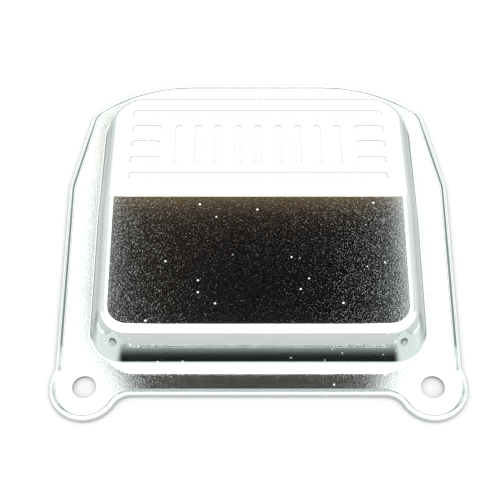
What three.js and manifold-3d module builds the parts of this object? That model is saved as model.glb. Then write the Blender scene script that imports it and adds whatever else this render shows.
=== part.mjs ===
// Rocker cover of a small overhead-valve engine, in millimetres, +Z up.
//
// A drawn sheet-steel cover lies on its flange. It has a flat crown, a rear panel that slopes down with
// pressed ribs, a flat flange with two bolt ears at the near edge, and a beaded rim all round. A flat
// gasket lies under the flange.
//
// Heights are measured from the flange's top face, and Y from the line through the two bolt holes. The
// exported group moves all of it so that the origin is the bottom centre of the whole cover.

import * as THREE from 'three';
import { mergeVertices } from 'three/addons/utils/BufferGeometryUtils.js';
import Module from 'manifold-3d';

const wasm = await Module();
wasm.setup();

// Sheet
const SHEET = 0.7;

// Bolt ears and holes
const HOLE_SPACING = 98.2;
const HOLE_DIAMETER = 6.7;
const EAR_X = HOLE_SPACING / 2;
const EAR_RADIUS = 8.0;

// Edge of the flange's flat face
const FLANGE_NEAR_Y = -0.5;
const FLANGE_SIDE_X = 55.8;
const FLANGE_FAR_Y = 101.6;
const EAR_BLEND_RADIUS = 7.9;
const NOTCH_RADIUS = 4.0;
const SHOULDER = { x: 55.8, y: 65.4, radius: 13.5 };
const FAR_CORNER = { x: 50.1, y: 91.2, radius: 4.5 };
const FAR_BEND = { x: 36.3, y: FLANGE_FAR_Y, radius: 46 };

// Beaded rim: a valley that turns up, a crest above the flange, and a short skirt that points down
const VALLEY_RADIUS = 0.75;
const CREST_RADIUS = 0.75;
const RISE_ANGLE = THREE.MathUtils.degToRad(-58);
const SKIRT_ANGLE = THREE.MathUtils.degToRad(84);
const SKIRT_LENGTH = 1.1;

// Dome: the foot is where the walls meet the flange, and the crown is where they meet the top
const CROWN_HEIGHT = 16.0;
const CREASE_Y = 53.2;
const REAR_SLOPE = THREE.MathUtils.degToRad(12.6);
const FOOT = {
	near: 6.7, far: 96.2, halfNear: 48.8, halfCrease: 48.7, halfFar: 47.4, nearR: 10.8, farR: 13,
};
const CROWN = {
	near: 12.5, far: 92.2, halfNear: 42, halfCrease: 42, halfFar: 42, nearR: 5.5, farR: 7.5,
};
const FOOT_FILLET = 0.6;
const CROWN_FILLET = 3.0;

// Pressed ribs on the rear panel
const RIB_HEIGHT = 0.5;
const RIB_WIDTH = 3.9;
const RIB_PITCH = 6.45;
const FIRST_RIB_Y = 60.75;
const LONG_RIB_HALF = 38.8;
const SHORT_RIB_INNER = 28.8;
const FIN_COUNT = 9;
const FIN_PITCH = 6.0;
const FIN_WIDTH = 3.2;
const FIN_END_GAP = 2.2;
const FIN_LENGTH = 3 * RIB_PITCH - FIN_END_GAP;

// Gasket under the flange
const GASKET_THICKNESS = 0.8;
const GASKET_OUTER_INSET = 0.3;
const GASKET_INNER_MARGIN = 0.7;
const GASKET_HOLE_DIAMETER = 7.2;
const CLEARANCE = 0.05;

// Facets
const ARC_STEP = THREE.MathUtils.degToRad(12);
const HOLE_SIDES = 28;
const FOOT_STEPS = 2;
const CROWN_STEPS = 4;
const VALLEY_STEPS = 2;
const CREST_STEPS = 5;

// Search for a wall's steepness
const LEAST_EXTRA_TILT = 0.05;
const HALVINGS = 40;

// ---------------------------------------------------------------- outlines
// An outline runs counter-clockwise, and each of its points keeps the outward normal of the edge there.

function arc(x, y, radius, from, to) {
	const steps = Math.max(2, Math.ceil(Math.abs(to - from) / ARC_STEP));
	const side = Math.sign(to - from);
	const points = [];
	for (let i = 0; i <= steps; i++) {
		const angle = from + (to - from) * i / steps;
		const c = Math.cos(angle);
		const s = Math.sin(angle);
		points.push({ x: x + radius * c, y: y + radius * s, nx: side * c, ny: side * s });
	}
	return points;
}

// A convex corner of a polygon, rounded
function corner(before, at, after, radius) {
	const from = Math.atan2(at.y - before.y, at.x - before.x) - Math.PI / 2;
	const turn = Math.atan2(after.y - at.y, after.x - at.x) - Math.PI / 2 - from;
	const to = from + (turn < -Math.PI ? turn + 2 * Math.PI : turn);
	const middle = (from + to) / 2;
	const reach = radius / Math.cos((to - from) / 2);
	return arc(at.x - reach * Math.cos(middle), at.y - reach * Math.sin(middle), radius, from, to);
}

// A whole outline from its right half, which runs from the near edge to the far edge
function mirrored(half) {
	const left = half.map((p) => ({ x: -p.x, y: p.y, nx: -p.nx, ny: p.ny })).reverse();
	return [...half, ...left];
}

function offset(outline, distance) {
	return outline.map((p) => ({ ...p, x: p.x + distance * p.nx, y: p.y + distance * p.ny }));
}

// The flange's flat edge: near edge, blend into the ear, ear, small notch, side, shoulder and far arc
function flangeOutline() {
	const blendY = FLANGE_NEAR_Y - EAR_BLEND_RADIUS;
	const blendX = EAR_X - Math.sqrt((EAR_RADIUS + EAR_BLEND_RADIUS) ** 2 - blendY ** 2);
	const blendEnd = Math.atan2(-blendY, EAR_X - blendX);
	const notchX = FLANGE_SIDE_X + NOTCH_RADIUS;
	const notchY = Math.sqrt((EAR_RADIUS + NOTCH_RADIUS) ** 2 - (notchX - EAR_X) ** 2);
	const notchStart = Math.atan2(notchY, notchX - EAR_X);
	const farCentre = { x: 0, y: FLANGE_FAR_Y };
	return mirrored([
		...arc(blendX, blendY, EAR_BLEND_RADIUS, Math.PI / 2, blendEnd),
		...arc(EAR_X, 0, EAR_RADIUS, blendEnd - Math.PI, notchStart).slice(1),
		...arc(notchX, notchY, NOTCH_RADIUS, notchStart + Math.PI, Math.PI).slice(1),
		...corner({ x: FLANGE_SIDE_X, y: 0 }, SHOULDER, FAR_CORNER, SHOULDER.radius),
		...corner(SHOULDER, FAR_CORNER, FAR_BEND, FAR_CORNER.radius),
		...corner(FAR_CORNER, FAR_BEND, farCentre, FAR_BEND.radius),
	]);
}

// The dome's outline at its foot or at its crown, with one point on each side at the crease
function domeOutline(size) {
	const nearCorner = { x: size.halfNear, y: size.near };
	const crease = { x: size.halfCrease, y: CREASE_Y };
	const farCorner = { x: size.halfFar, y: size.far };
	return mirrored([
		...corner({ x: 0, y: size.near }, nearCorner, crease, size.nearR),
		{ ...crease, nx: 1, ny: 0 },
		...corner(crease, farCorner, { x: 0, y: size.far }, size.farR),
	]);
}

function circle(x, y, diameter) {
	const points = [];
	for (let i = 0; i < HOLE_SIDES; i++) {
		const angle = 2 * Math.PI * i / HOLE_SIDES;
		points.push({ x: x + diameter / 2 * Math.cos(angle), y: y + diameter / 2 * Math.sin(angle) });
	}
	return points;
}

function shapeOf(outline, holes = []) {
	const shape = new THREE.Shape(outline.map((p) => new THREE.Vector2(p.x, p.y)));
	shape.holes = holes.map((hole) => new THREE.Path(hole.map((p) => new THREE.Vector2(p.x, p.y))));
	return shape;
}

// ---------------------------------------------------------------- sections
// A section point has a run, a height and the sheet's tilt there: 0 when level, a right angle when
// upright, and below 0 where the rim rises outwards.

// Points of a bend that starts at a section point. A positive radius bends down, a negative one up.
function bend(start, radius, endTilt, steps) {
	const points = [];
	for (let i = 1; i <= steps; i++) {
		const tilt = start.tilt + (endTilt - start.tilt) * i / steps;
		points.push({
			run: start.run + radius * (Math.sin(tilt) - Math.sin(start.tilt)),
			height: start.height + radius * (Math.cos(tilt) - Math.cos(start.tilt)),
			tilt,
		});
	}
	return points;
}

// The rim's outer surface, from the flange's flat edge outwards
function rimSection() {
	const flat = { run: 0, height: 0, tilt: 0 };
	const valley = bend(flat, -VALLEY_RADIUS, RISE_ANGLE, VALLEY_STEPS);
	const crest = bend(valley.at(-1), CREST_RADIUS, SKIRT_ANGLE, CREST_STEPS);
	const { run, height } = crest.at(-1);
	const skirtEnd = {
		run: run + SKIRT_LENGTH * Math.cos(SKIRT_ANGLE),
		height: height - SKIRT_LENGTH * Math.sin(SKIRT_ANGLE),
		tilt: SKIRT_ANGLE,
	};
	return [flat, ...valley, ...crest, skirtEnd];
}

// The straight length of a wall whose two fillets and straight reach the wanted rise
function wallStraight(rise, topTilt, wallTilt) {
	const filletRise = CROWN_FILLET * (Math.cos(topTilt) - Math.cos(wallTilt))
		+ FOOT_FILLET * (1 - Math.cos(wallTilt));
	return (rise - filletRise) / Math.sin(wallTilt);
}

// The steepness that makes a wall of this rise cover this run, found by halving
function wallSteepness(run, rise, topTilt) {
	let low = topTilt + LEAST_EXTRA_TILT;
	let high = Math.PI / 2;
	for (let i = 0; i < HALVINGS; i++) {
		const tilt = (low + high) / 2;
		const covered = CROWN_FILLET * (Math.sin(tilt) - Math.sin(topTilt))
			+ wallStraight(rise, topTilt, tilt) * Math.cos(tilt) + FOOT_FILLET * Math.sin(tilt);
		if (covered > run) low = tilt;
		else high = tilt;
	}
	return (low + high) / 2;
}

// A wall's outer surface, from the flange up to the crown
function wallSection(run, rise, topTilt) {
	const wallTilt = wallSteepness(run, rise, topTilt);
	const section = [];
	for (let i = 0; i <= FOOT_STEPS; i++) {
		const tilt = wallTilt * i / FOOT_STEPS;
		section.push({ run: FOOT_FILLET * Math.sin(tilt), height: FOOT_FILLET * (1 - Math.cos(tilt)), tilt });
	}
	for (let i = 0; i <= CROWN_STEPS; i++) {
		const tilt = wallTilt + (topTilt - wallTilt) * i / CROWN_STEPS;
		section.push({
			run: run - CROWN_FILLET * (Math.sin(tilt) - Math.sin(topTilt)),
			height: rise - CROWN_FILLET * (Math.cos(topTilt) - Math.cos(tilt)),
			tilt,
		});
	}
	return section;
}

function crownHeight(y) {
	return CROWN_HEIGHT - Math.max(0, y - CREASE_Y) * Math.tan(REAR_SLOPE);
}

// ---------------------------------------------------------------- solids

function solid(geometry) {
	const bare = geometry.clone();
	bare.deleteAttribute('normal');
	bare.deleteAttribute('uv');
	const merged = mergeVertices(bare);
	return new wasm.Manifold(new wasm.Mesh({
		numProp: 3,
		vertProperties: merged.attributes.position.array,
		triVerts: Uint32Array.from(merged.index.array),
	}));
}

function geometryOf(manifold) {
	const mesh = manifold.getMesh();
	const geometry = new THREE.BufferGeometry();
	geometry.setAttribute('position', new THREE.BufferAttribute(mesh.vertProperties, 3));
	geometry.setIndex(new THREE.BufferAttribute(mesh.triVerts, 1));
	geometry.computeVertexNormals();
	return geometry;
}

// Collects rings of points and the faces between them into one closed surface
class Surface {
	positions = [];
	faces = [];

	ring(points) {
		const first = this.positions.length / 3;
		for (const p of points) this.positions.push(p.x, p.y, p.z);
		return points.map((p, i) => first + i);
	}

	// A band of faces, which face away from the inside of a counter-clockwise lower ring
	band(lower, upper) {
		for (let i = 0; i < lower.length; i++) {
			const j = (i + 1) % lower.length;
			this.faces.push(lower[i], lower[j], upper[j]);
			this.faces.push(lower[i], upper[j], upper[i]);
		}
	}

	// A filled face between an outer ring and its holes, facing up or down
	fill(ring, holes, up) {
		const flat = (id) => new THREE.Vector2(this.positions[3 * id], this.positions[3 * id + 1]);
		const flatHoles = holes.map((hole) => hole.map(flat));
		const ids = [ring, ...holes].flat();
		for (const [a, b, c] of THREE.ShapeUtils.triangulateShape(ring.map(flat), flatHoles)) {
			const area = THREE.ShapeUtils.area([flat(ids[a]), flat(ids[b]), flat(ids[c])]);
			const face = (area > 0) === up ? [a, b, c] : [a, c, b];
			this.faces.push(...face.map((i) => ids[i]));
		}
	}

	geometry() {
		const geometry = new THREE.BufferGeometry();
		geometry.setAttribute('position', new THREE.Float32BufferAttribute(this.positions, 3));
		geometry.setIndex(this.faces);
		return geometry;
	}
}

// A ring of the sheet's outer face, or of its inner face when depth is the sheet's thickness
function rimRing(outline, point, depth) {
	const run = point.run - depth * Math.sin(point.tilt);
	const z = point.height - depth * Math.cos(point.tilt);
	return outline.map((p) => ({ x: p.x + run * p.nx, y: p.y + run * p.ny, z }));
}

// The wall's sections, one for each point of the foot
function wallSections(foot, crown) {
	return foot.map((base, i) => {
		const top = crown[i];
		const run = Math.hypot(top.x - base.x, top.y - base.y);
		const inward = { x: (top.x - base.x) / run, y: (top.y - base.y) / run };
		const onSlope = base.y > CREASE_Y;
		const topTilt = onSlope ? Math.atan(Math.tan(REAR_SLOPE) * -inward.y) : 0;
		return { base, inward, points: wallSection(run, crownHeight(top.y), topTilt) };
	});
}

function wallRing(sections, level, depth) {
	return sections.map(({ base, inward, points }) => {
		const point = points[level];
		const run = point.run + depth * Math.sin(point.tilt);
		const z = point.height - depth * Math.cos(point.tilt);
		return { x: base.x + run * inward.x, y: base.y + run * inward.y, z };
	});
}

// The drawn sheet without its ribs: flange, rim, walls and crown, outer face and inner face
function plainShell() {
	const surface = new Surface();
	const edge = flangeOutline();
	const sections = wallSections(domeOutline(FOOT), domeOutline(CROWN));
	const levels = sections[0].points.length;
	const holes = [-EAR_X, EAR_X].map((x) => circle(x, 0, HOLE_DIAMETER));
	const faces = [0, SHEET].map((depth) => ({
		rim: rimSection().map((point) => surface.ring(rimRing(edge, point, depth))),
		walls: Array.from({ length: levels }, (_, level) => surface.ring(wallRing(sections, level, depth))),
		holes: holes.map((hole) => surface.ring(hole.map((p) => ({ ...p, z: -depth })))),
	}));
	faces.forEach((face, side) => {
		const up = side === 0;
		const band = (a, b) => (up ? surface.band(a, b) : surface.band(b, a));
		for (let i = 0; i + 1 < face.rim.length; i++) band(face.rim[i + 1], face.rim[i]);
		for (let i = 0; i + 1 < levels; i++) band(face.walls[i], face.walls[i + 1]);
		surface.fill(face.rim[0], [face.walls[0], ...face.holes], up);
		const crown = face.walls[levels - 1];
		const rightCrease = sections.findIndex(({ base }) => base.y === CREASE_Y);
		const leftCrease = crown.length - 1 - rightCrease;
		surface.fill([...crown.slice(leftCrease), ...crown.slice(0, rightCrease + 1)], [], up);
		surface.fill(crown.slice(rightCrease, leftCrease + 1), [], up);
	});
	const [outer, inner] = faces;
	surface.band(inner.rim[inner.rim.length - 1], outer.rim[outer.rim.length - 1]);
	outer.holes.forEach((hole, i) => surface.band(hole, inner.holes[i]));
	return solid(surface.geometry());
}

// A round-ended rib that stands on the sloped rear panel, with its length along X or up the slope
function rib(x, y, length, width, upright) {
	const straight = (length - width) / 2;
	const shape = new THREE.Shape();
	shape.absarc(straight, 0, width / 2, -Math.PI / 2, Math.PI / 2);
	shape.absarc(-straight, 0, width / 2, Math.PI / 2, 3 * Math.PI / 2);
	const root = SHEET / 2;
	const geometry = new THREE.ExtrudeGeometry(shape, {
		depth: root + RIB_HEIGHT / 2,
		bevelThickness: RIB_HEIGHT / 2,
		bevelSize: RIB_HEIGHT / 2,
		bevelOffset: -RIB_HEIGHT / 2,
		bevelSegments: 1,
		curveSegments: 6,
	});
	geometry.translate(0, 0, -root);
	if (upright) geometry.rotateZ(Math.PI / 2);
	geometry.rotateX(-REAR_SLOPE);
	geometry.translate(x, y, crownHeight(y));
	return solid(geometry);
}

// Long ribs along the panel's two long edges, three short ones at each end, and a row of upright fins
function ribs() {
	const list = [];
	const rows = [0, 1, 2, 3, 4].map((row) => FIRST_RIB_Y + row * RIB_PITCH);
	for (const y of [rows[0], rows[4]]) list.push(rib(0, y, 2 * LONG_RIB_HALF, RIB_WIDTH, false));
	const shortLength = LONG_RIB_HALF - SHORT_RIB_INNER;
	const shortX = (LONG_RIB_HALF + SHORT_RIB_INNER) / 2;
	for (const y of rows.slice(1, 4)) {
		for (const x of [-shortX, shortX]) list.push(rib(x, y, shortLength, RIB_WIDTH, false));
	}
	for (let i = 0; i < FIN_COUNT; i++) {
		const x = (i - (FIN_COUNT - 1) / 2) * FIN_PITCH;
		list.push(rib(x, rows[2], FIN_LENGTH, FIN_WIDTH, true));
	}
	return list;
}

function coverShellGeometry() {
	return geometryOf(ribs().reduce((shell, one) => shell.add(one), plainShell()));
}

function flangeGasketGeometry() {
	const outer = offset(flangeOutline(), -GASKET_OUTER_INSET);
	const window = offset(domeOutline(FOOT), GASKET_INNER_MARGIN);
	const holes = [-EAR_X, EAR_X].map((x) => circle(x, 0, GASKET_HOLE_DIAMETER));
	const shape = shapeOf(outer, [window, ...holes]);
	return new THREE.ExtrudeGeometry(shape, { depth: GASKET_THICKNESS, bevelEnabled: false });
}

// ---------------------------------------------------------------- materials

function zincSteel() {
	return new THREE.MeshStandardMaterial({ color: 0xd9dcdb, roughness: 0.25, metalness: 1 });
}

function gasketRubber() {
	return new THREE.MeshStandardMaterial({ color: 0x3c3b38, roughness: 0.9, metalness: 0 });
}

function piece(name, geometry, material, z) {
	const mesh = new THREE.Mesh(geometry, material);
	mesh.name = name;
	mesh.position.z = z;
	return mesh;
}

// ---------------------------------------------------------------- assembly

const rimReach = rimSection().at(-1).run;
const nearLimit = -EAR_RADIUS - rimReach;
const farLimit = FLANGE_FAR_Y + rimReach;
const gasketBottom = -SHEET - CLEARANCE - GASKET_THICKNESS;

const group = new THREE.Group();
group.position.set(0, -(nearLimit + farLimit) / 2, -gasketBottom);
group.add(piece('cover_shell', coverShellGeometry(), zincSteel(), 0));
group.add(piece('flange_gasket', flangeGasketGeometry(), gasketRubber(), gasketBottom));

export default group;
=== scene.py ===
"""Rocker cover of a small overhead-valve engine: bright zinc-plated sheet and a rubber gasket.

Outlines and sections are in millimetres, in the part's design frame: heights are measured from the
flange's top face, and Y from the line through the two bolt holes. place() moves them into the frame.
"""

import math

import bpy
import numpy as np
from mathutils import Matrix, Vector
from mathutils.geometry import delaunay_2d_cdt


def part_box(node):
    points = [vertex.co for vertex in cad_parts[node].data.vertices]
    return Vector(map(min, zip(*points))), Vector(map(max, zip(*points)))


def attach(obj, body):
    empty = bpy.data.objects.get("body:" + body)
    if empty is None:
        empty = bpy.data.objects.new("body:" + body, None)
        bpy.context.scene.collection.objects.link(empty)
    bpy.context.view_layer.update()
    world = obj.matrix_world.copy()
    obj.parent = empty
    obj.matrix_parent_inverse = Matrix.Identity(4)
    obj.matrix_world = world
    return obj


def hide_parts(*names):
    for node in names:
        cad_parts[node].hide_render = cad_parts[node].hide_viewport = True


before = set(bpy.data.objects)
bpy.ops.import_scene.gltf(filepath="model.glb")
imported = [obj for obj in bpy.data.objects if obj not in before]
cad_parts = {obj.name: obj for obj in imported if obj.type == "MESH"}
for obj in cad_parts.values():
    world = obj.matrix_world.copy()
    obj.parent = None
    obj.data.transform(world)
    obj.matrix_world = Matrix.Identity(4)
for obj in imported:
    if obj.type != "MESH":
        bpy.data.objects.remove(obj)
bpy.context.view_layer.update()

# ---------------------------------------------------------------- driving dimensions, as in the CAD

SHEET = 0.7

HOLE_SPACING = 98.2
HOLE_DIAMETER = 6.7
EAR_X = HOLE_SPACING / 2
EAR_RADIUS = 8.0

FLANGE_NEAR_Y = -0.5
FLANGE_SIDE_X = 55.8
FLANGE_FAR_Y = 101.6
EAR_BLEND_RADIUS = 7.9
NOTCH_RADIUS = 4.0
SHOULDER = (55.8, 65.4)
SHOULDER_RADIUS = 13.5
FAR_CORNER = (50.1, 91.2)
FAR_CORNER_RADIUS = 4.5
FAR_BEND = (36.3, FLANGE_FAR_Y)
FAR_BEND_RADIUS = 46

VALLEY_RADIUS = 0.75
CREST_RADIUS = 0.75
RISE_ANGLE = math.radians(-58)
SKIRT_ANGLE = math.radians(84)
SKIRT_LENGTH = 1.1

CROWN_HEIGHT = 16.0
CREASE_Y = 53.2
CREASE_BLEND = 0.6
REAR_SLOPE = math.radians(12.6)
FOOT = {"near": 6.7, "far": 96.2, "half_near": 48.8, "half_crease": 48.7, "half_far": 47.4,
        "near_radius": 10.8, "far_radius": 13}
CROWN = {"near": 12.5, "far": 92.2, "half_near": 42, "half_crease": 42, "half_far": 42,
         "near_radius": 5.5, "far_radius": 7.5}
FOOT_FILLET = 0.6
CROWN_FILLET = 3.0
WALL_BOW = math.radians(6.5)
WALL_BOW_SHARE = 0.9
LEAST_BOW = 0.0001

RIB_HEIGHT = 0.5
RIB_FLANK = 1.2
RIB_WIDTH = 3.9
RIB_PITCH = 6.45
FIRST_RIB_Y = 60.75
LONG_RIB_HALF = 38.8
SHORT_RIB_INNER = 28.8
RIB_ROWS = 5
FIN_COUNT = 9
FIN_PITCH = 6.0
FIN_WIDTH = 3.2
FIN_END_GAP = 2.2

GASKET_THICKNESS = 0.8
GASKET_OUTER_INSET = 0.3
GASKET_INNER_MARGIN = 0.7
GASKET_HOLE_DIAMETER = 7.2
GASKET_EDGE = 0.1
CLEARANCE = 0.05

# Fineness of the meshes
ARC_STEP = math.radians(3)
JOIN_GAP = 0.01
MERGE_DISTANCE = 1e-7
CORNER_STEPS = 28
NEAR_EDGE_STEPS = 13
SIDE_STEPS = 12
FAR_EDGE_STEPS = 12
CREASE_STEPS = 5
CREASE_SEARCH_STEPS = 100
EDGE_SPACING = 3.0
HOLE_SIDES = 56
FOOT_STEPS = 8
WALL_STEPS = 8
CROWN_STEPS = 16
VALLEY_STEPS = 6
CREST_STEPS = 14
SKIRT_STEPS = 2
RIB_STEPS = 9
RIB_END_STEPS = 16
CUT_EDGE = 0.12
CUT_STEPS = 3

# The grid of points inside the crown, so that its triangles stay small
GRID = 3.0
GRID_HALF_WIDTH = 39
GRID_NEAR_Y = 14
GRID_SLOPE_Y = 56.5
GRID_FAR_Y = 92
GRID_CREASE_ROWS = 9
GRID_CREASE_GAP = 1
GRID_EDGE_GAP = 0.6

# Search for a wall's steepness
LEAST_EXTRA_TILT = 0.05
HALVINGS = 40

# ---------------------------------------------------------------- datum, from the frame

MM = 0.001
shell_low, shell_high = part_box("cover_shell")
valley_reach = VALLEY_RADIUS * math.sin(-RISE_ANGLE)
crest_reach = CREST_RADIUS * (math.sin(SKIRT_ANGLE) - math.sin(RISE_ANGLE))
RIM_REACH = valley_reach + crest_reach + SKIRT_LENGTH * math.cos(SKIRT_ANGLE)
DATUM = Vector((0, shell_low.y + (EAR_RADIUS + RIM_REACH) * MM, shell_high.z - CROWN_HEIGHT * MM))


def place(points):
    return np.asarray(points) * MM + np.array(DATUM)


# ---------------------------------------------------------------- outlines
# An outline is an array of rows x, y, nx, ny: counter-clockwise points with their outward normals.

def arc(x, y, radius, start, end, steps=None):
    steps = steps or max(2, math.ceil(abs(end - start) / ARC_STEP))
    side = math.copysign(1, end - start)
    angles = np.linspace(start, end, steps + 1)
    c = np.cos(angles)
    s = np.sin(angles)
    return np.column_stack([x + radius * c, y + radius * s, side * c, side * s])


def corner(before, at, after, radius, steps=None):
    """A convex corner of a polygon, rounded."""
    start = math.atan2(at[1] - before[1], at[0] - before[0]) - math.pi / 2
    turn = math.atan2(after[1] - at[1], after[0] - at[0]) - math.pi / 2 - start
    end = start + (turn + 2 * math.pi if turn < -math.pi else turn)
    middle = (start + end) / 2
    reach = radius / math.cos((end - start) / 2)
    x = at[0] - reach * math.cos(middle)
    y = at[1] - reach * math.sin(middle)
    return arc(x, y, radius, start, end, steps)


def straight(start, end, steps=None):
    dx = end[0] - start[0]
    dy = end[1] - start[1]
    length = math.hypot(dx, dy)
    steps = steps or max(1, round(length / EDGE_SPACING))
    t = np.linspace(0, 1, steps + 1)
    ones = np.ones(steps + 1)
    return np.column_stack([start[0] + dx * t, start[1] + dy * t, ones * dy / length, ones * -dx / length])


def joined(pieces):
    """Pieces end to end, each starting where the last one ends, with straights in any gap."""
    rows = [pieces[0]]
    for piece in pieces[1:]:
        last = rows[-1][-1]
        if math.dist(last[:2], piece[0][:2]) > JOIN_GAP:
            rows.append(straight(last, piece[0])[1:])
        rows.append(piece[1:])
    return np.vstack(rows)


def mirrored(half):
    """A whole outline from its right half, which runs from X = 0 to X = 0."""
    left = (half * [-1, 1, -1, 1])[::-1]
    return np.vstack([half, left[1:-1]])


def offset(outline, distance):
    moved = outline.copy()
    moved[:, :2] += distance * outline[:, 2:]
    return moved


def flange_outline():
    blend_y = FLANGE_NEAR_Y - EAR_BLEND_RADIUS
    blend_x = EAR_X - math.sqrt((EAR_RADIUS + EAR_BLEND_RADIUS) ** 2 - blend_y ** 2)
    blend_end = math.atan2(-blend_y, EAR_X - blend_x)
    notch_x = FLANGE_SIDE_X + NOTCH_RADIUS
    notch_y = math.sqrt((EAR_RADIUS + NOTCH_RADIUS) ** 2 - (notch_x - EAR_X) ** 2)
    notch_start = math.atan2(notch_y, notch_x - EAR_X)
    return mirrored(joined([
        straight((0, FLANGE_NEAR_Y), (blend_x, FLANGE_NEAR_Y)),
        arc(blend_x, blend_y, EAR_BLEND_RADIUS, math.pi / 2, blend_end),
        arc(EAR_X, 0, EAR_RADIUS, blend_end - math.pi, notch_start),
        arc(notch_x, notch_y, NOTCH_RADIUS, notch_start + math.pi, math.pi),
        corner((FLANGE_SIDE_X, 0), SHOULDER, FAR_CORNER, SHOULDER_RADIUS),
        corner(SHOULDER, FAR_CORNER, FAR_BEND, FAR_CORNER_RADIUS),
        corner(FAR_CORNER, FAR_BEND, (0, FLANGE_FAR_Y), FAR_BEND_RADIUS),
        straight((FAR_BEND[0] / 4, FLANGE_FAR_Y), (0, FLANGE_FAR_Y)),
    ]))


def dome_outline(size):
    """The dome at its foot or at its crown. Both have the same number of points."""
    near_corner = (size["half_near"], size["near"])
    crease = (size["half_crease"], CREASE_Y)
    far_corner = (size["half_far"], size["far"])
    near = corner((0, size["near"]), near_corner, crease, size["near_radius"], CORNER_STEPS)
    far = corner(crease, far_corner, (0, size["far"]), size["far_radius"], CORNER_STEPS)
    blend_start = straight(near[-1], crease, CREASE_SEARCH_STEPS)
    blend_start = blend_start[np.searchsorted(blend_start[:, 1], CREASE_Y - CREASE_BLEND)]
    blend_end = straight(crease, far[0], CREASE_SEARCH_STEPS)
    blend_end = blend_end[np.searchsorted(blend_end[:, 1], CREASE_Y + CREASE_BLEND)]
    return mirrored(joined([
        straight((0, size["near"]), near[0], NEAR_EDGE_STEPS),
        near,
        straight(near[-1], blend_start, SIDE_STEPS),
        straight(blend_start, crease, CREASE_STEPS),
        straight(crease, blend_end, CREASE_STEPS),
        straight(blend_end, far[0], SIDE_STEPS),
        far,
        straight(far[-1], (0, size["far"]), FAR_EDGE_STEPS),
    ]))


# ---------------------------------------------------------------- sections
# A section point has a run, a height and the sheet's tilt there, from 0 when level to a right angle.

def bend(run, height, radius, start, end, steps):
    """Points of a bend from one tilt to another. A positive radius bends down, a negative one up."""
    points = []
    for tilt in np.linspace(start, end, steps + 1):
        points.append((run + radius * (math.sin(tilt) - math.sin(start)),
                       height + radius * (math.cos(tilt) - math.cos(start)), tilt))
    return points


def rim_section():
    valley = bend(0, 0, -VALLEY_RADIUS, 0, RISE_ANGLE, VALLEY_STEPS)
    crest = bend(valley[-1][0], valley[-1][1], CREST_RADIUS, RISE_ANGLE, SKIRT_ANGLE, CREST_STEPS)
    run, height, tilt = crest[-1]
    skirt = []
    for i in range(1, SKIRT_STEPS + 1):
        along = (SKIRT_LENGTH - CUT_EDGE) * i / SKIRT_STEPS
        skirt.append((run + along * math.cos(tilt), height - along * math.sin(tilt), tilt))
    return valley + crest[1:] + skirt


def wall_radius(rise, top_tilt, wall_tilt, bow):
    """The radius of a wall that, with its two fillets, reaches the wanted rise."""
    fillets = (CROWN_FILLET * (math.cos(top_tilt) - math.cos(wall_tilt - bow))
               + FOOT_FILLET * (1 - math.cos(wall_tilt + bow)))
    return (rise - fillets) / (math.cos(wall_tilt - bow) - math.cos(wall_tilt + bow))


def wall_steepness(run, rise, top_tilt, bow):
    """The middle tilt that makes a wall of this rise cover this run, found by halving."""
    low = top_tilt + bow + LEAST_EXTRA_TILT
    high = math.pi / 2
    for _ in range(HALVINGS):
        tilt = (low + high) / 2
        radius = wall_radius(rise, top_tilt, tilt, bow)
        covered = (CROWN_FILLET * (math.sin(tilt - bow) - math.sin(top_tilt))
                   + radius * (math.sin(tilt + bow) - math.sin(tilt - bow))
                   + FOOT_FILLET * math.sin(tilt + bow))
        if covered > run:
            low = tilt
        else:
            high = tilt
    return (low + high) / 2


def wall_section(run, rise, top_tilt):
    """A wall's outer surface, from the flange up to the crown. It is a little steeper at its foot."""
    room = math.pi / 2 - wall_steepness(run, rise, top_tilt, LEAST_BOW)
    bow = max(LEAST_BOW, min(WALL_BOW, WALL_BOW_SHARE * room))
    tilt = wall_steepness(run, rise, top_tilt, bow)
    radius = wall_radius(rise, top_tilt, tilt, bow)
    foot = tilt + bow
    shoulder = tilt - bow
    points = []
    for angle in np.linspace(0, foot, FOOT_STEPS + 1):
        points.append((FOOT_FILLET * math.sin(angle), FOOT_FILLET * (1 - math.cos(angle)), angle))
    foot_run, foot_height, _ = points[-1]
    for angle in np.linspace(foot, shoulder, WALL_STEPS + 1)[1:-1]:
        points.append((foot_run + radius * (math.sin(foot) - math.sin(angle)),
                       foot_height + radius * (math.cos(angle) - math.cos(foot)), angle))
    for angle in np.linspace(shoulder, top_tilt, CROWN_STEPS + 1):
        points.append((run - CROWN_FILLET * (math.sin(angle) - math.sin(top_tilt)),
                       rise - CROWN_FILLET * (math.cos(top_tilt) - math.cos(angle)), angle))
    return points


def crown_fall(y):
    """How steeply the crown falls at y: nothing, then a soft crease, then the rear slope."""
    share = np.clip((y - CREASE_Y + CREASE_BLEND) / (2 * CREASE_BLEND), 0, 1)
    return math.tan(REAR_SLOPE) * share


def crown_height(y):
    into = np.clip(y - CREASE_Y + CREASE_BLEND, 0, 2 * CREASE_BLEND)
    beyond = np.maximum(y - CREASE_Y - CREASE_BLEND, 0)
    return CROWN_HEIGHT - math.tan(REAR_SLOPE) * (into ** 2 / (4 * CREASE_BLEND) + beyond)


# ---------------------------------------------------------------- meshes

def unit(vectors):
    vectors = np.asarray(vectors, float)
    return vectors / np.linalg.norm(vectors, axis=-1, keepdims=True)


def inside(points, loops):
    """Whether each point is inside the loops, by counting the edges crossed on the way out."""
    crossings = np.zeros(len(points), int)
    for loop in loops:
        after = np.roll(loop, -1, axis=0)
        for (ax, ay), (bx, by) in zip(loop, after):
            spans = (points[:, 1] < ay) != (points[:, 1] < by)
            if ay != by:
                crossings += spans & (points[:, 0] < ax + (points[:, 1] - ay) / (by - ay) * (bx - ax))
    return crossings % 2 == 1


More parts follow.
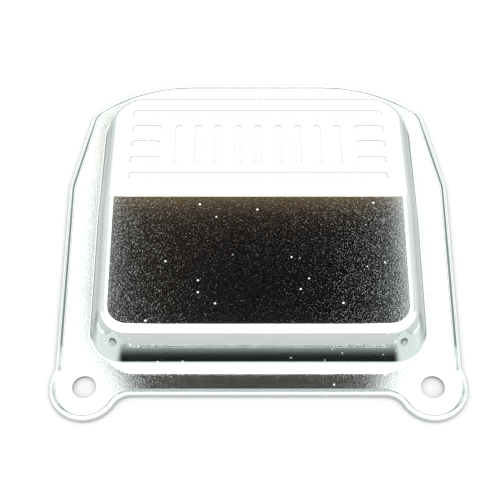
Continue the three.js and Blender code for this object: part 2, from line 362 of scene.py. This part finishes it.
class Surface:
    """Collects points with their normals, and the faces between them.

    plain holds the normals without the ribs, along which the sheet has its thickness.
    """

    def __init__(self):
        self.points = []
        self.normals = []
        self.plain = []
        self.faces = []

    def ring(self, points, normals):
        first = len(self.points)
        self.points.extend(np.asarray(points, float))
        self.normals.extend(unit(normals))
        return list(range(first, len(self.points)))

    def band(self, lower, upper):
        """Quads that face away from the inside of a counter-clockwise lower ring."""
        for i, start in enumerate(lower):
            j = (i + 1) % len(lower)
            self.faces.append((start, lower[j], upper[j], upper[i]))

    def fill(self, rings, extra=()):
        """Triangles, facing up, between an outer ring and its holes, through the extra points."""
        ids = [i for ring in rings for i in ring] + list(extra)
        flat = [Vector(self.points[i][:2]) for i in ids]
        edges = []
        first = 0
        for ring in rings:
            edges += [(first + i, first + (i + 1) % len(ring)) for i in range(len(ring))]
            first += len(ring)
        out, _, triangles, origin, _, _ = delaunay_2d_cdt(flat, edges, [], 0, MERGE_DISTANCE)
        triangles = np.array(triangles)
        centres = np.array([v[:] for v in out])[triangles].mean(axis=1)
        loops = [np.array([self.points[i][:2] for i in ring]) for ring in rings]
        for triangle in triangles[inside(centres, loops)]:
            self.faces.append(tuple(ids[origin[i][0]] for i in triangle))

    def grid(self, rings, xs, ys, gap, lift):
        """Points of a grid inside the rings and clear of them. lift() gives heights and normals."""
        loops = [np.array([self.points[i][:2] for i in ring]) for ring in rings]
        points = np.array([(x, y) for y in ys for x in xs])
        points = points[inside(points, loops)]
        edge = np.vstack(loops)
        near = np.array([np.min((edge[:, 0] - x) ** 2 + (edge[:, 1] - y) ** 2) for x, y in points])
        points = points[near > gap ** 2]
        return self.ring(*lift(points[:, 0], points[:, 1]))


def mesh_object(name, surface):
    """A smooth-shaded object whose normals are the surface's own."""
    mesh = bpy.data.meshes.new(name)
    mesh.from_pydata(place(surface.points).tolist(), [], [tuple(map(int, face)) for face in surface.faces])
    mesh.shade_smooth()
    mesh.normals_split_custom_set_from_vertices([tuple(n) for n in surface.normals])
    made = bpy.data.objects.new(name, mesh)
    bpy.context.scene.collection.objects.link(made)
    return made


def circle(x, y, diameter):
    angles = np.linspace(0, 2 * math.pi, HOLE_SIDES, endpoint=False)
    c = np.cos(angles)
    s = np.sin(angles)
    return np.column_stack([x + diameter / 2 * c, y + diameter / 2 * s, c, s])


def at_height(outline, z):
    return np.column_stack([outline[:, :2], np.full(len(outline), z)])


def slab(surface, loops, bottom, top, edge):
    """A flat plate with eased edges. The first loop is its outside, and the others are its holes."""
    rings = []
    quarter = [math.radians(a) for a in (0, 30, 60, 90)]
    for index, loop in enumerate(loops):
        side = 1 if index == 0 else -1
        profile = []
        for a in quarter:
            c = math.cos(a)
            s = math.sin(a)
            profile.append((edge * (1 - s), bottom + edge * (1 - c), s, -c))
        for a in quarter:
            c = math.cos(a)
            s = math.sin(a)
            profile.append((edge * (1 - c), top - edge * (1 - s), c, s))
        levels = []
        for inset, z, lean, rise in profile:
            normals = np.column_stack([side * lean * loop[:, 2:], np.full(len(loop), rise)])
            levels.append(surface.ring(at_height(offset(loop, -side * inset), z), normals))
        for lower, upper in zip(levels, levels[1:]):
            if index == 0:
                surface.band(lower, upper)
            else:
                surface.band(upper, lower)
        rings.append(levels)
    surface.fill([levels[-1] for levels in rings])
    count = len(surface.faces)
    surface.fill([levels[0] for levels in rings])
    surface.faces[count:] = [face[::-1] for face in surface.faces[count:]]


# ---------------------------------------------------------------- the drawn sheet

def rim_rings(surface, edge):
    rings = []
    for run, height, tilt in rim_section():
        normals = np.column_stack([edge[:, 2:] * math.sin(tilt), np.full(len(edge), math.cos(tilt))])
        rings.append(surface.ring(at_height(offset(edge, run), height), normals))
    return rings


def wall_rings(surface):
    foot = dome_outline(FOOT)
    crown = dome_outline(CROWN)
    across = crown[:, :2] - foot[:, :2]
    runs = np.linalg.norm(across, axis=1)
    inward = across / runs[:, None]
    top_tilts = np.arctan(crown_fall(crown[:, 1]) * -inward[:, 1])
    rises = crown_height(crown[:, 1])
    sections = np.array([wall_section(*row) for row in zip(runs, rises, top_tilts)])
    rings = []
    for level in range(sections.shape[1]):
        run, height, tilt = sections[:, level].T
        points = np.column_stack([foot[:, :2] + inward * run[:, None], height])
        along = np.roll(points, -1, axis=0) - np.roll(points, 1, axis=0)
        up = np.column_stack([inward * np.cos(tilt)[:, None], np.sin(tilt)])
        rings.append(surface.ring(points, np.cross(along, up)))
    return rings


def on_crown(x, y):
    """Points of the plain crown, with their normals."""
    points = np.column_stack([x, y, crown_height(y)])
    normals = np.column_stack([np.zeros_like(y), crown_fall(y), np.ones_like(y)])
    return points, normals


def rib_rings(surface, x, y, length, width, upright):
    """A pressed rib's flank: rings from its foot in to its flat top."""
    half = (length - width) / 2
    down_slope = np.array([0, math.cos(REAR_SLOPE), -math.sin(REAR_SLOPE)])
    rings = []
    for t in np.linspace(0, 1, RIB_STEPS):
        radius = width / 2 - RIB_FLANK * t
        loop = joined([
            arc(half, 0, radius, -math.pi / 2, math.pi / 2, RIB_END_STEPS),
            arc(-half, 0, radius, math.pi / 2, 3 * math.pi / 2, RIB_END_STEPS),
            straight((-half, -radius), (half, -radius)),
        ])[:-1]
        if upright:
            loop = np.column_stack([-loop[:, 1], loop[:, 0], -loop[:, 3], loop[:, 2]])
        points, normals = on_crown(x + loop[:, 0], y + loop[:, 1] * math.cos(REAR_SLOPE))
        normals = unit(normals)
        height = RIB_HEIGHT * t * t * (3 - 2 * t)
        steepness = RIB_HEIGHT * 6 * t * (1 - t) / RIB_FLANK
        outward = loop[:, 2:3] * [1, 0, 0] + loop[:, 3:4] * down_slope
        rings.append(surface.ring(points + height * normals, normals + steepness * outward))
    for lower, upper in zip(rings, rings[1:]):
        surface.band(lower, upper)
    surface.fill([rings[-1]])
    return rings


def all_ribs(surface):
    """Long ribs along the two long edges, three short ones at each end, and a row of upright fins."""
    rows = [FIRST_RIB_Y + row * RIB_PITCH for row in range(RIB_ROWS)]
    ribs = [rib_rings(surface, 0, y, 2 * LONG_RIB_HALF, RIB_WIDTH, False) for y in (rows[0], rows[-1])]
    short_length = LONG_RIB_HALF - SHORT_RIB_INNER
    short_x = (LONG_RIB_HALF + SHORT_RIB_INNER) / 2
    for y in rows[1:-1]:
        ribs += [rib_rings(surface, x, y, short_length, RIB_WIDTH, False) for x in (-short_x, short_x)]
    fin_length = 3 * RIB_PITCH - FIN_END_GAP
    for i in range(FIN_COUNT):
        x = (i - (FIN_COUNT - 1) / 2) * FIN_PITCH
        ribs.append(rib_rings(surface, x, rows[RIB_ROWS // 2], fin_length, FIN_WIDTH, True))
    return ribs


def back_face(surface, count):
    """The sheet's inner face, behind the first points, and its own reversed faces."""
    points = np.array(surface.points[:count])
    normals = np.array(surface.normals[:count])
    plain = np.array(surface.plain[:count])
    faces = list(surface.faces)
    surface.ring(points - SHEET * plain, -normals)
    surface.faces += [tuple(i + count for i in face)[::-1] for face in faces]


def cut_edge(surface, ring, ways, count, outside):
    """Rounds the sheet's cut edge between an open ring and the ring behind it."""
    points = np.array([surface.points[i] for i in ring])
    normals = np.array([surface.normals[i] for i in ring])
    last = ring
    angles = [math.pi / 2 * i / CUT_STEPS for i in range(1, CUT_STEPS + 1)]
    turns = [(CUT_EDGE, a) for a in angles]
    turns += [(SHEET - CUT_EDGE, a + math.pi / 2) for a in [0, *angles[:-1]]]
    for depth, angle in turns:
        facing = normals * math.cos(angle) + ways * math.sin(angle)
        after = surface.ring(points - depth * normals + CUT_EDGE * facing, facing)
        if outside:
            surface.band(after, last)
        else:
            surface.band(last, after)
        last = after
    behind = [i + count for i in ring]
    if outside:
        surface.band(behind, last)
    else:
        surface.band(last, behind)


def crown_grid(surface, crown):
    across = round(2 * GRID_HALF_WIDTH / GRID)
    xs = np.linspace(-GRID_HALF_WIDTH, GRID_HALF_WIDTH, across + 1)
    flat = np.arange(GRID_NEAR_Y, CREASE_Y - CREASE_BLEND - GRID_CREASE_GAP, GRID)
    crease = np.linspace(CREASE_Y - CREASE_BLEND, CREASE_Y + CREASE_BLEND, GRID_CREASE_ROWS)
    slope = np.arange(GRID_SLOPE_Y, GRID_FAR_Y, GRID)
    return surface.grid(crown, xs, np.concatenate([flat, crease, slope]), GRID_EDGE_GAP, on_crown)


def cover_sheet():
    surface = Surface()
    edge = flange_outline()
    rim = rim_rings(surface, edge)
    for inner, outer in zip(rim, rim[1:]):
        surface.band(outer, inner)
    walls = wall_rings(surface)
    for lower, upper in zip(walls, walls[1:]):
        surface.band(lower, upper)
    holes = [circle(x, 0, HOLE_DIAMETER + 2 * CUT_EDGE) for x in (-EAR_X, EAR_X)]
    hole_rings = [surface.ring(at_height(hole, 0), [(0, 0, 1)] * len(hole)) for hole in holes]
    surface.fill([rim[0], walls[0], *hole_rings])
    plain_count = len(surface.points)
    ribs = all_ribs(surface)
    crown = [walls[-1], *[rings[0] for rings in ribs]]
    surface.fill(crown, crown_grid(surface, crown))
    count = len(surface.points)
    surface.plain = list(surface.normals)
    _, crown_normals = on_crown(*np.array(surface.points)[plain_count:, :2].T)
    surface.plain[plain_count:] = unit(crown_normals)
    back_face(surface, count)
    _, _, tilt = rim_section()[-1]
    down = np.column_stack([edge[:, 2:] * math.cos(tilt), np.full(len(edge), -math.sin(tilt))])
    cut_edge(surface, rim[-1], down, count, True)
    for hole, ring in zip(holes, hole_rings):
        cut_edge(surface, ring, np.column_stack([-hole[:, 2:], np.zeros(len(hole))]), count, False)
    return mesh_object("cover_sheet", surface)


def gasket_sheet():
    surface = Surface()
    outer = offset(flange_outline(), -GASKET_OUTER_INSET)
    window = offset(dome_outline(FOOT), GASKET_INNER_MARGIN)
    holes = [circle(x, 0, GASKET_HOLE_DIAMETER) for x in (-EAR_X, EAR_X)]
    top = -SHEET - CLEARANCE
    slab(surface, [outer, window, *holes], top - GASKET_THICKNESS, top, GASKET_EDGE)
    return mesh_object("flange_gasket_sheet", surface)


# ---------------------------------------------------------------- materials

class Graph:
    """A node tree with short calls. Inputs are values, or sockets to link."""

    def __init__(self, tree):
        self.tree = tree
        tree.nodes.clear()

    def node(self, kind, inputs=None, **settings):
        made = self.tree.nodes.new("ShaderNode" + kind)
        for name, value in settings.items():
            setattr(made, name, value)
        for name, value in (inputs or {}).items():
            if isinstance(value, bpy.types.NodeSocket):
                self.tree.links.new(value, made.inputs[name])
            else:
                made.inputs[name].default_value = value
        return made

    def math(self, operation, *values):
        return self.node("Math", dict(enumerate(values)), operation=operation).outputs[0]

    def noise(self, place, scale, detail=2.0, roughness=0.5):
        inputs = {"Vector": place, "Scale": scale, "Detail": detail, "Roughness": roughness}
        return self.node("TexNoise", inputs).outputs["Fac"]

    def spread(self, value, low, high, to_low, to_high):
        """Maps a range smoothly onto another, and holds its ends."""
        inputs = {"Value": value, "From Min": low, "From Max": high, "To Min": to_low, "To Max": to_high}
        return self.node("MapRange", inputs, interpolation_type="SMOOTHSTEP").outputs["Result"]

    def mix(self, share, first, second):
        made = self.node("Mix", {0: share}, data_type="RGBA")
        for slot, value in ((6, first), (7, second)):
            if isinstance(value, bpy.types.NodeSocket):
                self.tree.links.new(value, made.inputs[slot])
            else:
                made.inputs[slot].default_value = value
        return made.outputs[2]

    def dust(self, place):
        """Small round specks: the middles of a few of the cells of a Voronoi pattern."""
        cells = self.node("TexVoronoi", {"Vector": place, "Scale": DUST_CELLS_PER_METRE}).outputs
        chance = self.node("SeparateColor", {0: cells["Color"]}).outputs[0]
        chosen = self.math("GREATER_THAN", chance, DUST_LEAST_CHANCE)
        return self.math("MULTIPLY", chosen, self.spread(cells["Distance"], *DUST_EDGE, 1.0, 0.0))

    def bump(self, height, distance, strength=1.0, normal=None):
        inputs = {"Height": height, "Distance": distance, "Strength": strength}
        if normal:
            inputs["Normal"] = normal
        return self.node("Bump", inputs).outputs["Normal"]


ZINC_DARK = (0.535, 0.580, 0.577, 1)
ZINC_PALE = (0.590, 0.625, 0.618, 1)
DUST = (0.85, 0.85, 0.83, 1)
DUST_CELLS_PER_METRE = 420.0
DUST_LEAST_CHANCE = 0.86
DUST_EDGE = (0.09, 0.15)
GRAIN_PER_METRE = 2100
GRAIN_HEIGHT = 0.0000035
GRAIN_RANGE = (0.3, 0.7)
ZINC_ROUGHNESS = (0.045, 0.09)
WAVES_PER_METRE = 90
WAVE_HEIGHT = 0.000003
PITS_PER_METRE = 2600
PIT_RANGE = (0.63, 0.74)
PIT_HEIGHT = 0.0000027
TONES_PER_METRE = 160

GASKET_DARK = (0.030, 0.030, 0.029, 1)
GASKET_PALE = (0.060, 0.059, 0.056, 1)
GASKET_GRAIN_PER_METRE = 1800
GASKET_GRAIN_HEIGHT = 0.00004
GASKET_ROUGHNESS = (0.78, 0.92)


def new_material(name):
    material = bpy.data.materials.new(name)
    material.use_nodes = True
    graph = Graph(material.node_tree)
    where = graph.node("TexCoord").outputs["Object"]
    return material, graph, where


def finish_material(graph, inputs):
    shader = graph.node("BsdfPrincipled", inputs)
    graph.node("OutputMaterial", {"Surface": shader.outputs[0]})


def zinc_plate():
    """Bright zinc plate: shallow waves, an orange-peel grain with small pits, and a little pale dust."""
    material, g, where = new_material("zinc_plate")
    grain = g.noise(where, GRAIN_PER_METRE, 2.0, 0.55)
    waves = g.noise(where, WAVES_PER_METRE, 1.0)
    pits = g.spread(g.noise(where, PITS_PER_METRE, 1.0), *PIT_RANGE, 0.0, 1.0)
    tone = g.noise(where, TONES_PER_METRE, 3.0)
    dust = g.dust(where)
    normal = g.bump(waves, WAVE_HEIGHT)
    normal = g.bump(grain, GRAIN_HEIGHT, 1.0, normal)
    normal = g.bump(pits, PIT_HEIGHT, 1.0, normal)
    finish_material(g, {
        "Base Color": g.mix(dust, g.mix(tone, ZINC_DARK, ZINC_PALE), DUST),
        "Metallic": g.math("SUBTRACT", 1.0, dust),
        "Roughness": g.spread(grain, *GRAIN_RANGE, *ZINC_ROUGHNESS),
        "Normal": normal,
    })
    return material


def gasket_rubber():
    """Matt nitrile rubber with a fine cloth-like grain."""
    material, g, where = new_material("gasket_rubber")
    grain = g.noise(where, GASKET_GRAIN_PER_METRE, 4.0, 0.6)
    finish_material(g, {
        "Base Color": g.mix(grain, GASKET_DARK, GASKET_PALE),
        "Roughness": g.spread(grain, *GRAIN_RANGE, *GASKET_ROUGHNESS),
        "Normal": g.bump(grain, GASKET_GRAIN_HEIGHT),
    })
    return material


# ---------------------------------------------------------------- stage

FLOOR_COLOUR = (0.50, 0.50, 0.50, 1)
FLOOR_ROUGHNESS = 0.9
FLOOR_HALF_WIDTH = 3.0


def studio_floor():
    half = FLOOR_HALF_WIDTH
    mesh = bpy.data.meshes.new("studio_floor")
    corners = [(-half, -half, 0), (half, -half, 0), (half, half, 0), (-half, half, 0)]
    mesh.from_pydata(corners, [], [(0, 1, 2, 3)])
    floor = bpy.data.objects.new("studio_floor", mesh)
    bpy.context.scene.collection.objects.link(floor)
    material, g, _ = new_material("studio_floor")
    finish_material(g, {
        "Base Color": FLOOR_COLOUR,
        "Roughness": FLOOR_ROUGHNESS,
        "Specular IOR Level": 0.0,
    })
    mesh.materials.append(material)


# The studio is a white tent, brightest overhead, with one dark gap in its roof. Places on the roof are
# measured from the point above the object, sideways to +X and away to +Y, as parts of the roof's height.
LOWEST_ROOF = 0.1
LIGHT = 2.1
OVERHEAD_EXTRA = 1.6
OVERHEAD_REACH = (0.20, 0.42)
GAP_MIDDLE = 0.003
GAP_HALF_NEAR = 0.108
GAP_HALF_FAR = 0.143
GAP_NEAR = 0.16
GAP_FAR = 0.69
GAP_WIDENS = (0.39, 0.455)
GAP_WARMS = (0.575, 0.61)
GAP_SOFT = 0.02
GAP_COOL_LIGHT = (0.0015, 0.0015, 0.003, 1)
GAP_BROWN_LIGHT = (0.012, 0.008, 0.0055, 1)
GAP_GOLD_LIGHT = (0.26, 0.17, 0.09, 1)
GAP_GREY_LIGHT = (0.050, 0.046, 0.040, 1)
GAP_GREYS = (0.425, 0.450)
# Light that reaches the eye by two or more reflections is held back, more so from the front
DEEP_FROM = 1.5
DEEP_LIGHT = 1.0
DEEP_BEYOND_LIGHT = 0.6
DEEP_FRONT_LIGHT = 0.01
FRONT_STARTS = (-0.24, -0.31)
FRONT_ENDS = (-0.56, -0.90)
FRONT_SIDES = (0.14, 0.40)
# The tent's two sides are a little dimmer beyond the object
SIDE_LIGHT = 0.62
SIDE_STARTS = (0.42, 0.75)
BEYOND_STARTS = (0.0, 0.3)


def studio_world():
    world = bpy.data.worlds.new("studio")
    world.use_nodes = True
    bpy.context.scene.world = world
    g = Graph(world.node_tree)
    way = g.node("SeparateXYZ", {0: g.node("TexCoord").outputs["Generated"]}).outputs
    height = g.math("MAXIMUM", way["Z"], LOWEST_ROOF)
    sideways = g.math("SUBTRACT", g.math("DIVIDE", way["X"], height), GAP_MIDDLE)
    away = g.math("DIVIDE", way["Y"], height)
    half = g.spread(away, *GAP_WIDENS, GAP_HALF_NEAR, GAP_HALF_FAR)
    outside = g.math("SUBTRACT", g.math("ABSOLUTE", sideways), half)
    gap = g.math("GREATER_THAN", way["Z"], LOWEST_ROOF)
    gap = g.math("MULTIPLY", gap, g.spread(outside, -GAP_SOFT / 2, GAP_SOFT / 2, 1.0, 0.0))
    gap = g.math("MULTIPLY", gap, g.spread(away, GAP_NEAR - GAP_SOFT, GAP_NEAR + GAP_SOFT, 0.0, 1.0))
    gap = g.math("MULTIPLY", gap, g.spread(away, GAP_FAR - GAP_SOFT, GAP_FAR, 1.0, 0.0))
    brown = g.spread(sideways, -GAP_HALF_FAR, GAP_MIDDLE, 1.0, 0.0)
    inside = g.mix(brown, GAP_COOL_LIGHT, GAP_BROWN_LIGHT)
    inside = g.mix(g.spread(away, *GAP_GREYS, 1.0, 0.0), inside, GAP_GREY_LIGHT)
    inside = g.mix(g.spread(away, *GAP_WARMS, 0.0, 1.0), inside, GAP_GOLD_LIGHT)
    from_top = g.math("SQRT", g.math("SUBTRACT", g.math("POWER", height, -2.0), 1.0))
    overhead = g.spread(from_top, *OVERHEAD_REACH, 1.0, 0.0)
    across = g.math("ABSOLUTE", way["X"])
    front = g.math("MULTIPLY", g.spread(way["Y"], FRONT_STARTS[1], FRONT_STARTS[0], 1.0, 0.0),
                   g.spread(way["Y"], FRONT_ENDS[1], FRONT_ENDS[0], 0.0, 1.0))
    front = g.math("MULTIPLY", front, g.spread(across, *FRONT_SIDES, 1.0, 0.0))
    beyond = g.spread(way["Y"], *BEYOND_STARTS, DEEP_LIGHT, DEEP_BEYOND_LIGHT)
    deep_light = g.math("MAXIMUM", overhead, beyond)
    deep_light = g.spread(front, 0.0, 1.0, deep_light, DEEP_FRONT_LIGHT)
    side = g.math("MULTIPLY", g.spread(across, *SIDE_STARTS, 0.0, 1.0),
                  g.spread(way["Y"], *BEYOND_STARTS, 0.0, 1.0))
    side_light = g.math("MULTIPLY_ADD", side, LIGHT * (SIDE_LIGHT - 1), LIGHT)
    is_deep = g.math("GREATER_THAN", g.node("LightPath").outputs["Glossy Depth"], DEEP_FROM)
    kept = g.spread(is_deep, 0.0, 1.0, 1.0, deep_light)
    strength = g.math("MULTIPLY", kept, g.math("MULTIPLY_ADD", overhead, OVERHEAD_EXTRA * LIGHT, side_light))
    background = g.node("Background", {"Color": g.mix(gap, (1, 1, 1, 1), inside), "Strength": strength})
    g.node("OutputWorld", {"Surface": background.outputs[0]})


CAMERA_FROM_HOLE_LINE = Vector((-0.0024, -0.1294, 0.3255))
CAMERA_TILT = math.radians(28)
CAMERA_LENS = 89.0


def photo_camera():
    camera = bpy.data.objects.new("camera", bpy.data.cameras.new("camera"))
    camera.location = DATUM + CAMERA_FROM_HOLE_LINE
    camera.rotation_euler = (CAMERA_TILT, 0, 0)
    camera.data.lens = CAMERA_LENS
    bpy.context.scene.collection.objects.link(camera)
    bpy.context.scene.camera = camera


# ---------------------------------------------------------------- the whole scene

photo_camera()
studio_floor()
studio_world()
bpy.context.scene.view_settings.view_transform = "Standard"

pieces = [
    (cover_sheet(), "cover_shell", "zinc_steel", zinc_plate()),
    (gasket_sheet(), "flange_gasket", "gasket_rubber", gasket_rubber()),
]
for piece, node, slot, material in pieces:
    piece.data.materials.append(material)
    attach(piece, "root")
    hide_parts(node)
